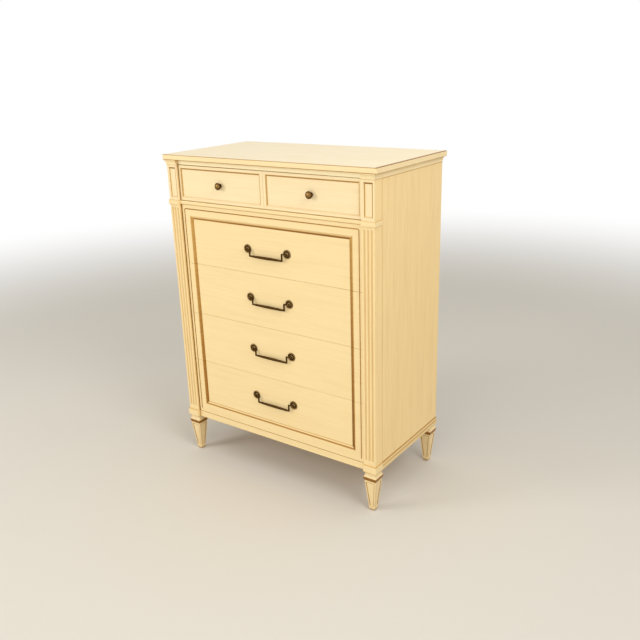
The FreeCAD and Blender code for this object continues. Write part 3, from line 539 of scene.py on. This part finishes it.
mould_low, mould_high = (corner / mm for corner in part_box("base_moulding_right"))
lower_band = 14.0
step_share = lower_band / (mould_high.z - mould_low.z)
mould_film = ((0.0, 0.1), (step_share - 0.04, 0.05), (step_share - 0.01, 0.34),
              (step_share + 0.08, 0.3), (step_share + 0.14, 0.06), (0.86, 0.08),
              (0.93, 0.45), (1.0, 0.5))

tree, split, close = glazed_lacquer("glazed_lacquer_base_moulding", "Y")
rise = add_node(tree, "ShaderNodeMapRange", {}, {
    "Value": split.outputs["Z"], "From Min": mould_low.z, "From Max": mould_high.z})
hold = add_node(tree, "ShaderNodeValToRGB", {}, {"Fac": rise.outputs["Result"]},
                film_stops(mould_film))
dress(close(hold.outputs["Color"]), "base_moulding_left", "base_moulding_right")

# Large drawer fronts
# Four solid fronts worked as one panel: a round bead and a thin groove run round the outside,
# and a sunk panel with sloping sides runs across all four. Its slopes hold the darkest glaze.

groove_x = 390.2
groove_top = 1038.0
groove_end = 202.9
groove_corner = 7.0
groove_half = 1.5
# The groove's film starts and is full at these shares of its half width, and at its lower end
# at these distances below and above the end.
groove_edge_start, groove_edge_full = 1.8, 0.8
groove_end_start, groove_end_full = 2.5, 2.0
groove_left_hold, groove_right_hold = 0.56, 0.36
recess_x = 362.3
recess_top = 1012.5
recess_foot = 228.5
recess_reach_in = 16.0
recess_reach_out = 6.0
# How thick the film is at each distance outside the panel's edge; the slope is 11.7 wide.
side_film = ((-12.6, 0.0), (-11.3, 1.0), (-5.0, 1.0), (-1.0, 0.85), (1.0, 0.6), (3.0, 0.1),
             (5.0, 0.0))
top_film = ((-13.4, 0.0), (-12.6, 0.7), (-8.0, 0.7), (-6.0, 0.2), (-1.5, 0.06),
            (-0.2, 0.14), (1.0, 0.0))
foot_film = ((-12.6, 0.0), (-11.8, 0.34), (-10.4, 0.34), (-9.6, 0.03), (-6.0, 0.04),
             (-4.5, 0.5), (0.0, 0.5), (1.0, 0.0))
# Shares of the film at the upper and lower end of each side, and at both ends of the top.
left_upper_hold, left_lower_hold = 0.38, 0.72
right_upper_hold, right_lower_hold = 0.42, 0.90
top_left_hold, top_right_hold = 0.85, 1.2

tree, split, close = glazed_lacquer("glazed_lacquer_large_fronts", "X", broad_streaks)
off_middle = add_node(tree, "ShaderNodeMath", {"operation": "ABSOLUTE"}, {
    0: split.outputs["X"]})
# How far a point lies outside the edge of the sunk panel, at its sides and top, and at its foot.
past_side = add_node(tree, "ShaderNodeMath", {"operation": "SUBTRACT"}, {
    0: off_middle.outputs["Value"], 1: recess_x})
past_top = add_node(tree, "ShaderNodeMath", {"operation": "SUBTRACT"}, {
    0: split.outputs["Z"], 1: recess_top})
past_foot = add_node(tree, "ShaderNodeMath", {"operation": "SUBTRACT"}, {
    0: recess_foot, 1: split.outputs["Z"]})
films = []
for past, film in ((past_side, side_film), (past_top, top_film), (past_foot, foot_film)):
    reach = add_node(tree, "ShaderNodeMapRange", {}, {
        "Value": past.outputs["Value"], "From Min": -recess_reach_in,
        "From Max": recess_reach_out})
    films.append(add_node(tree, "ShaderNodeValToRGB", {}, {"Fac": reach.outputs["Result"]},
                          film_stops([((out + recess_reach_in)
                                       / (recess_reach_in + recess_reach_out), hold)
                                      for out, hold in film])))
# The side slopes get darker towards the floor, the right one more than the left.
left_hold = add_node(tree, "ShaderNodeMapRange", {}, {
    "Value": split.outputs["Z"], "From Min": recess_top, "From Max": recess_foot,
    "To Min": left_upper_hold, "To Max": left_lower_hold})
right_hold = add_node(tree, "ShaderNodeMapRange", {}, {
    "Value": split.outputs["Z"], "From Min": recess_top, "From Max": recess_foot,
    "To Min": right_upper_hold, "To Max": right_lower_hold})
on_right = add_node(tree, "ShaderNodeMath", {"operation": "GREATER_THAN"}, {
    0: split.outputs["X"], 1: 0.0})
side_hold = add_node(tree, "ShaderNodeMix", {"data_type": "FLOAT"}, {
    "Factor": on_right.outputs["Value"], 2: left_hold.outputs["Result"],
    3: right_hold.outputs["Result"]})
side_slopes = add_node(tree, "ShaderNodeMath", {"operation": "MULTIPLY"}, {
    0: films[0].outputs["Color"], 1: side_hold.outputs[0]})
past_upper = add_node(tree, "ShaderNodeMath", {"operation": "MAXIMUM"}, {
    0: past_side.outputs["Value"], 1: past_top.outputs["Value"]})
at_top = add_node(tree, "ShaderNodeMath", {"operation": "GREATER_THAN"}, {
    0: past_top.outputs["Value"], 1: past_side.outputs["Value"]})
top_share = add_node(tree, "ShaderNodeMapRange", {}, {
    "Value": split.outputs["X"], "From Min": -recess_x, "From Max": recess_x,
    "To Min": top_left_hold, "To Max": top_right_hold})
top_slope = add_node(tree, "ShaderNodeMath", {"operation": "MULTIPLY"}, {
    0: films[1].outputs["Color"], 1: top_share.outputs["Result"]})
upper_hold = add_node(tree, "ShaderNodeMix", {"data_type": "FLOAT"}, {
    "Factor": at_top.outputs["Value"], 2: side_slopes.outputs["Value"],
    3: top_slope.outputs["Value"]})
at_foot = add_node(tree, "ShaderNodeMath", {"operation": "GREATER_THAN"}, {
    0: past_foot.outputs["Value"], 1: past_upper.outputs["Value"]})
panel_hold = add_node(tree, "ShaderNodeMix", {"data_type": "FLOAT"}, {
    "Factor": at_foot.outputs["Value"], 2: upper_hold.outputs[0],
    3: films[2].outputs["Color"]})
# How far a point lies from the middle line of the groove, which turns a round corner.
past_x = add_node(tree, "ShaderNodeMath", {"operation": "SUBTRACT"}, {
    0: off_middle.outputs["Value"], 1: groove_x - groove_corner})
past_z = add_node(tree, "ShaderNodeMath", {"operation": "SUBTRACT"}, {
    0: split.outputs["Z"], 1: groove_top - groove_corner})
corner_x = add_node(tree, "ShaderNodeMath", {"operation": "MAXIMUM"}, {
    0: past_x.outputs["Value"], 1: 0.0})
corner_z = add_node(tree, "ShaderNodeMath", {"operation": "MAXIMUM"}, {
    0: past_z.outputs["Value"], 1: 0.0})
corner_place = add_node(tree, "ShaderNodeCombineXYZ", {}, {
    0: corner_x.outputs["Value"], 1: corner_z.outputs["Value"]})
corner_length = add_node(tree, "ShaderNodeVectorMath", {"operation": "LENGTH"}, {
    0: corner_place.outputs["Vector"]})
deepest = add_node(tree, "ShaderNodeMath", {"operation": "MAXIMUM"}, {
    0: past_x.outputs["Value"], 1: past_z.outputs["Value"]})
inside = add_node(tree, "ShaderNodeMath", {"operation": "MINIMUM"}, {
    0: deepest.outputs["Value"], 1: 0.0})
to_line = add_node(tree, "ShaderNodeMath", {"operation": "ADD"}, {
    0: corner_length.outputs["Value"], 1: inside.outputs["Value"]})
from_line = add_node(tree, "ShaderNodeMath", {"operation": "SUBTRACT"}, {
    0: to_line.outputs["Value"], 1: groove_corner})
off_line = add_node(tree, "ShaderNodeMath", {"operation": "ABSOLUTE"}, {
    0: from_line.outputs["Value"]})
groove_mask = add_node(tree, "ShaderNodeMapRange", {}, {
    "Value": off_line.outputs["Value"], "From Min": groove_half * groove_edge_start,
    "From Max": groove_half * groove_edge_full})
groove_share = add_node(tree, "ShaderNodeMapRange", {}, {
    "Value": split.outputs["X"], "From Min": -groove_x, "From Max": groove_x,
    "To Min": groove_left_hold, "To Max": groove_right_hold})
groove_film = add_node(tree, "ShaderNodeMath", {"operation": "MULTIPLY"}, {
    0: groove_mask.outputs["Result"], 1: groove_share.outputs["Result"]})
above_end = add_node(tree, "ShaderNodeMapRange", {}, {
    "Value": split.outputs["Z"], "From Min": groove_end - groove_end_start,
    "From Max": groove_end + groove_end_full})
groove_hold = add_node(tree, "ShaderNodeMath", {"operation": "MULTIPLY"}, {
    0: groove_film.outputs["Value"], 1: above_end.outputs["Result"]})
mask = add_node(tree, "ShaderNodeMath", {"operation": "MAXIMUM"}, {
    0: panel_hold.outputs[0], 1: groove_hold.outputs["Value"]})
large_drawers = ["large_drawer_" + str(number) for number in range(1, 5)]
dress(close(mask.outputs["Value"]), *[drawer + "_front" for drawer in large_drawers])

# Small drawer fronts
# Two solid fronts, each with its own sunk panel. Glaze stays on the slopes, and painted shade
# is added on the slopes that face down.

small_low, small_high = (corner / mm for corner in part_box("small_drawer_right_front"))
small_side_border = 9.2
small_inner_border = 11.5
small_end_border = 10.1
small_slope = 5.5
small_middle_x = (small_low.x + small_inner_border + small_high.x - small_side_border) / 2
small_middle_z = (small_low.z + small_high.z) / 2
small_half_x = small_high.x - small_side_border - small_middle_x
small_half_z = (small_high.z - small_low.z) / 2 - small_end_border
# The film's ramp runs from this far inside the panel's edge to this far outside it.
small_reach_in = small_slope * 1.4
small_reach_out = small_slope * 0.4
small_film = ((0.12, 0.0), (0.20, 1.0), (0.75, 0.9), (0.82, 0.0))
# How thick the film is on slopes that face down to up, and left to right: glaze, with painted
# shade making it heavier on slopes that face down.
small_end_glaze_and_shade = ((0.32, 0.52), (0.42, 0.0), (0.58, 0.0), (0.68, 0.12))
small_side_glaze_and_shade = ((0.32, 0.30), (0.42, 0.0), (0.58, 0.0), (0.68, 0.36))

tree, split, close = glazed_lacquer("glazed_lacquer_small_fronts", "X", broad_streaks)
off_middle = add_node(tree, "ShaderNodeMath", {"operation": "ABSOLUTE"}, {
    0: split.outputs["X"]})
from_panel_x = add_node(tree, "ShaderNodeMath", {"operation": "SUBTRACT"}, {
    0: off_middle.outputs["Value"], 1: small_middle_x})
from_panel_z = add_node(tree, "ShaderNodeMath", {"operation": "SUBTRACT"}, {
    0: split.outputs["Z"], 1: small_middle_z})
past = past_outline(tree, from_panel_x.outputs["Value"], from_panel_z.outputs["Value"],
                    small_half_x, small_half_z)[2]
share = add_node(tree, "ShaderNodeMapRange", {}, {
    "Value": past, "From Min": -small_reach_in, "From Max": small_reach_out})
hold = add_node(tree, "ShaderNodeValToRGB", {}, {"Fac": share.outputs["Result"]},
                film_stops(small_film))
# Each slope's film follows which way it faces, so the shade of the light from above is painted in.
facing = add_node(tree, "ShaderNodeNewGeometry")
facing_split = add_node(tree, "ShaderNodeSeparateXYZ", {}, {0: facing.outputs["Normal"]})
facing_glaze_and_shade = []
for axis, film in (("Z", small_end_glaze_and_shade), ("X", small_side_glaze_and_shade)):
    toward = add_node(tree, "ShaderNodeMapRange", {}, {
        "Value": facing_split.outputs[axis], "From Min": -1.0, "From Max": 1.0})
    facing_glaze_and_shade.append(add_node(tree, "ShaderNodeValToRGB", {}, {
        "Fac": toward.outputs["Result"]}, film_stops(film)).outputs["Color"])
slope_hold = add_node(tree, "ShaderNodeMath", {"operation": "MAXIMUM"}, {
    0: facing_glaze_and_shade[0], 1: facing_glaze_and_shade[1]})
mask = add_node(tree, "ShaderNodeMath", {"operation": "MULTIPLY"}, {
    0: hold.outputs["Color"], 1: slope_hold.outputs["Value"]})
small_drawers = ["small_drawer_left", "small_drawer_right"]
# The fronts take the paler upper cream, painted light from above.
dress(close(mask.outputs["Value"], linear(upper_lit_cream)),
      *[drawer + "_front" for drawer in small_drawers])

# Legs
# Flared collars over square tapered legs with a sunk panel on each face. The undercut below
# the collar is filled with dark glaze, and a thin line of it follows each panel.

leg_low, leg_high = (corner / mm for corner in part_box("front_leg_right"))
back_low, back_high = (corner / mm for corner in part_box("back_leg_right"))
leg_x = (leg_low.x + leg_high.x) / 2
leg_y = (leg_low.y + leg_high.y) / 2
back_y = (back_low.y + back_high.y) / 2
leg_height = leg_high.z - leg_low.z
collar_foot = 137.0
undercut_foot = 127.0
undercut_hold = 0.8
# How thick the film is at each height, and then at each share of the height.
leg_film_mm = ((undercut_foot - 1.8, 0.02), (undercut_foot + 0.8, undercut_hold),
               (collar_foot + 2.0, undercut_hold), (collar_foot + 4.6, 0.02))
leg_film = ((0.0, 0.5), (0.03, 0.05),
            *(((height - leg_low.z) / leg_height, hold) for height, hold in leg_film_mm),
            (0.98, 0.02), (1.0, 0.4))
leg_top_width = 46.4
leg_foot_width = 21.5
leg_panel_margin = 5.4
leg_panel_low = 18.5
leg_panel_high = 118.0
leg_line_start, leg_line_full, leg_line_hold = 1.6, 0.7, 0.5

tree, split, close = glazed_lacquer("glazed_lacquer_legs", "Z")
rise = add_node(tree, "ShaderNodeMapRange", {}, {
    "Value": split.outputs["Z"], "From Min": leg_low.z, "From Max": leg_high.z})
hold = add_node(tree, "ShaderNodeValToRGB", {}, {"Fac": rise.outputs["Result"]},
                film_stops(leg_film))
# How far a point lies from the middle of its leg's face, whichever face it is on.
off_leg = []
for axis, middle, spread in (("X", 0.0, leg_x),
                             ("Y", (leg_y + back_y) / 2, (back_y - leg_y) / 2)):
    from_middle = add_node(tree, "ShaderNodeMath", {"operation": "SUBTRACT"}, {
        0: split.outputs[axis], 1: middle})
    off_middle = add_node(tree, "ShaderNodeMath", {"operation": "ABSOLUTE"}, {
        0: from_middle.outputs["Value"]})
    from_leg = add_node(tree, "ShaderNodeMath", {"operation": "SUBTRACT"}, {
        0: off_middle.outputs["Value"], 1: spread})
    off_leg.append(add_node(tree, "ShaderNodeMath", {"operation": "ABSOLUTE"}, {
        0: from_leg.outputs["Value"]}).outputs["Value"])
off_face_middle = add_node(tree, "ShaderNodeMath", {"operation": "MINIMUM"}, {
    0: off_leg[0], 1: off_leg[1]})
panel_half = add_node(tree, "ShaderNodeMapRange", {}, {
    "Value": split.outputs["Z"], "From Min": leg_low.z, "From Max": undercut_foot,
    "To Min": leg_foot_width / 2 - leg_panel_margin,
    "To Max": leg_top_width / 2 - leg_panel_margin})
past_side = add_node(tree, "ShaderNodeMath", {"operation": "SUBTRACT"}, {
    0: off_face_middle.outputs["Value"], 1: panel_half.outputs["Result"]})
past_top = add_node(tree, "ShaderNodeMath", {"operation": "SUBTRACT"}, {
    0: split.outputs["Z"], 1: leg_panel_high})
past = add_node(tree, "ShaderNodeMath", {"operation": "MAXIMUM"}, {
    0: past_side.outputs["Value"], 1: past_top.outputs["Value"]})
off_edge = add_node(tree, "ShaderNodeMath", {"operation": "ABSOLUTE"}, {
    0: past.outputs["Value"]})
edge_line = add_node(tree, "ShaderNodeMapRange", {}, {
    "Value": off_edge.outputs["Value"], "From Min": leg_line_start,
    "From Max": leg_line_full, "To Max": leg_line_hold})
above_foot = add_node(tree, "ShaderNodeMath", {"operation": "GREATER_THAN"}, {
    0: split.outputs["Z"], 1: leg_panel_low})
panel_line = add_node(tree, "ShaderNodeMath", {"operation": "MULTIPLY"}, {
    0: edge_line.outputs["Result"], 1: above_foot.outputs["Value"]})
mask = add_node(tree, "ShaderNodeMath", {"operation": "MAXIMUM"}, {
    0: hold.outputs["Color"], 1: panel_line.outputs["Value"]})
dress(close(mask.outputs["Value"], linear(cream_edge)),
      "front_leg_left", "front_leg_right", "back_leg_left", "back_leg_right")

# Drawer boxes and the frames inside the case
# Unfinished light hardwood, planed: drawer sides and backs, web frames, guides, corner blocks.
# It looks dry and matt, with fine lines of grain along each piece.

box_pale, box_dark = "#D8B98A", "#B98F5A"
frame_pale, frame_dark = "#CDB187", "#A98556"
bottom_pale, bottom_dark = "#DDBF92", "#C29A66"
grain_gap, grain_length = 3, 220
grain_noise = {"Scale": 1.0, "Detail": 4.0, "Roughness": 0.62, "Distortion": 0.4}
grain_dark_at, grain_pale_at = 0.32, 0.62
planed_roughness = 0.62
planed_specular = 0.3
grain_relief = 0.1 * mm
grain_relief_strength = 0.5


def planed_hardwood(name, along, pale, dark):
    """Bare straight-grained wood, with its grain lines along one axis."""
    material, tree, in_mm = start_finish(name)
    stretch = [1 / grain_length if axis == along else 1 / grain_gap for axis in "XYZ"]
    stretched = add_node(tree, "ShaderNodeVectorMath", {"operation": "MULTIPLY"}, {
        0: in_mm, 1: stretch})
    grain = add_node(tree, "ShaderNodeTexNoise", {}, {
        "Vector": stretched.outputs["Vector"], **grain_noise})
    colour = add_node(tree, "ShaderNodeValToRGB", {}, {"Fac": grain.outputs[0]}, [
        (grain_dark_at, linear(dark)), (grain_pale_at, linear(pale))])
    bump = add_node(tree, "ShaderNodeBump", {}, {
        "Height": grain.outputs[0], "Distance": grain_relief,
        "Strength": grain_relief_strength})
    shader = add_node(tree, "ShaderNodeBsdfPrincipled", {}, {
        "Base Color": colour.outputs["Color"], "Roughness": planed_roughness,
        "Normal": bump.outputs["Normal"], "Specular IOR Level": planed_specular})
    add_node(tree, "ShaderNodeOutputMaterial", {}, {"Surface": shader.outputs["BSDF"]})
    return material


drawers = large_drawers + small_drawers
dress(planed_hardwood("planed_maple_drawer_boxes", "Y", box_pale, box_dark),
      *[drawer + "_box" for drawer in drawers])
dress(planed_hardwood("planed_poplar_frames", "X", frame_pale, frame_dark),
      "bottom_web_frame", "web_frame_3", "web_frame_2", "web_frame_1", "upper_web_frame",
      "drawer_guides", "corner_blocks", "centre_divider", "rear_rail")
dress(planed_hardwood("thin_plywood_bottoms", "X", bottom_pale, bottom_dark),
      *[drawer + "_bottom" for drawer in drawers])

# Back panel
# A thin sheet of brown hardboard, screwed into the rabbets of the sides. It looks dull, with
# a faint grain from its fibres.

board_pale, board_dark = "#9A7148", "#7E5835"

dress(planed_hardwood("hardboard_back", "Z", board_pale, board_dark), "back_panel")

# Bail pulls and knobs
# Cast brass with a dark antique finish, rubbed bright on what the hand and cloth touch. It
# looks almost black in the hollows and old gold on the crests.

brass_tint = "#7A5E38"
rosette_patina, rosette_rubbed = "#2A1B08", "#A08150"
bail_patina, bail_rubbed = "#38250D", "#66481F"
knob_patina, knob_rubbed = "#3E2A0F", "#8C6B3D"
# Patina lies in patches of about 3 mm, with a cast grain of half a millimetre.
patch_noise = {"Scale": 1 / 3, "Detail": 4.0, "Roughness": 0.6}
cast_noise = {"Scale": 1 / 0.5, "Detail": 2.0, "Roughness": 0.5}
patina_at, rubbed_at = 0.35, 0.75
crest_gain = 0.36
beyond_step, beyond_least, beyond_most = 0.8, 0.1, 0.4
worn_low, worn_high = 0.3, 0.7
patina_roughness, rubbed_roughness = 0.58, 0.4
cast_relief = 0.05 * mm
cast_relief_strength = 0.6
# Places in Y where the rubbing starts, where it is full, and where it ends.
field_y = -222.3
knob_face_y = -244.5
rosette_crest = (field_y - 1.8, field_y - 3.0, field_y - 3.4)
knob_crest = (knob_face_y + 8.0, knob_face_y, knob_face_y - 5.0)


def antiqued_brass(name, patina, rubbed, crest=None):
    """Brass under dark patina; crest gives the places in Y where cloth has rubbed it bright."""
    material, tree, in_mm = start_finish(name)
    patches = add_node(tree, "ShaderNodeTexNoise", {}, {"Vector": in_mm, **patch_noise})
    grain = add_node(tree, "ShaderNodeTexNoise", {}, {"Vector": in_mm, **cast_noise})
    worn = patches.outputs[0]
    if crest:
        split = add_node(tree, "ShaderNodeSeparateXYZ", {}, {0: in_mm})
        start, full, end = crest
        raised = add_node(tree, "ShaderNodeMapRange", {}, {
            "Value": split.outputs["Y"], "From Min": start, "From Max": full,
            "To Max": crest_gain})
        beyond = add_node(tree, "ShaderNodeMapRange", {}, {
            "Value": split.outputs["Y"], "From Min": end, "From Max": end - beyond_step,
            "To Min": beyond_least, "To Max": beyond_most})
        height = add_node(tree, "ShaderNodeMath", {"operation": "SUBTRACT"}, {
            0: raised.outputs["Result"], 1: beyond.outputs["Result"]})
        worn = add_node(tree, "ShaderNodeMath", {"operation": "ADD"}, {
            0: patches.outputs[0], 1: height.outputs["Value"]}).outputs["Value"]
    colour = add_node(tree, "ShaderNodeValToRGB", {}, {"Fac": worn}, [
        (patina_at, linear(patina)), (rubbed_at, linear(rubbed))])
    rough = add_node(tree, "ShaderNodeMapRange", {}, {
        "Value": worn, "From Min": worn_low, "From Max": worn_high,
        "To Min": patina_roughness, "To Max": rubbed_roughness})
    bump = add_node(tree, "ShaderNodeBump", {}, {
        "Height": grain.outputs[0], "Distance": cast_relief, "Strength": cast_relief_strength})
    shader = add_node(tree, "ShaderNodeBsdfPrincipled", {}, {
        "Base Color": colour.outputs["Color"], "Metallic": 1.0,
        "Specular Tint": linear(brass_tint),
        "Roughness": rough.outputs["Result"], "Normal": bump.outputs["Normal"]})
    add_node(tree, "ShaderNodeOutputMaterial", {}, {"Surface": shader.outputs["BSDF"]})
    return material


dress(antiqued_brass("antiqued_cast_brass_rosettes", rosette_patina, rosette_rubbed,
                     rosette_crest), *["pull_posts_" + str(number) for number in range(1, 5)])
dress(antiqued_brass("antiqued_cast_brass_bails", bail_patina, bail_rubbed),
      *["bail_" + str(number) for number in range(1, 5)])
dress(antiqued_brass("antiqued_turned_brass_knobs", knob_patina, knob_rubbed, knob_crest),
      "knob_left", "knob_right")

# Screws, bolts and glides
# Zinc-plated steel, dull from handling, with a grey bloom of about a millimetre.

zinc_dark, zinc_pale = "#8B8B88", "#A9A9A5"
zinc_dark_at, zinc_pale_at = 0.35, 0.65
bloom_noise = {"Scale": 0.8, "Detail": 3.0, "Roughness": 0.6}
zinc_smooth, zinc_dull = 0.3, 0.55

zinc, tree, in_mm = start_finish("zinc_plated_steel")
bloom = add_node(tree, "ShaderNodeTexNoise", {}, {"Vector": in_mm, **bloom_noise})
colour = add_node(tree, "ShaderNodeValToRGB", {}, {"Fac": bloom.outputs[0]}, [
    (zinc_dark_at, linear(zinc_dark)), (zinc_pale_at, linear(zinc_pale))])
rough = add_node(tree, "ShaderNodeMapRange", {}, {
    "Value": bloom.outputs[0], "To Min": zinc_smooth, "To Max": zinc_dull})
shader = add_node(tree, "ShaderNodeBsdfPrincipled", {}, {
    "Base Color": colour.outputs["Color"], "Metallic": 1.0,
    "Roughness": rough.outputs["Result"]})
add_node(tree, "ShaderNodeOutputMaterial", {}, {"Surface": shader.outputs["BSDF"]})
dress(zinc, "case_screws", "hanger_bolts", "floor_glides")
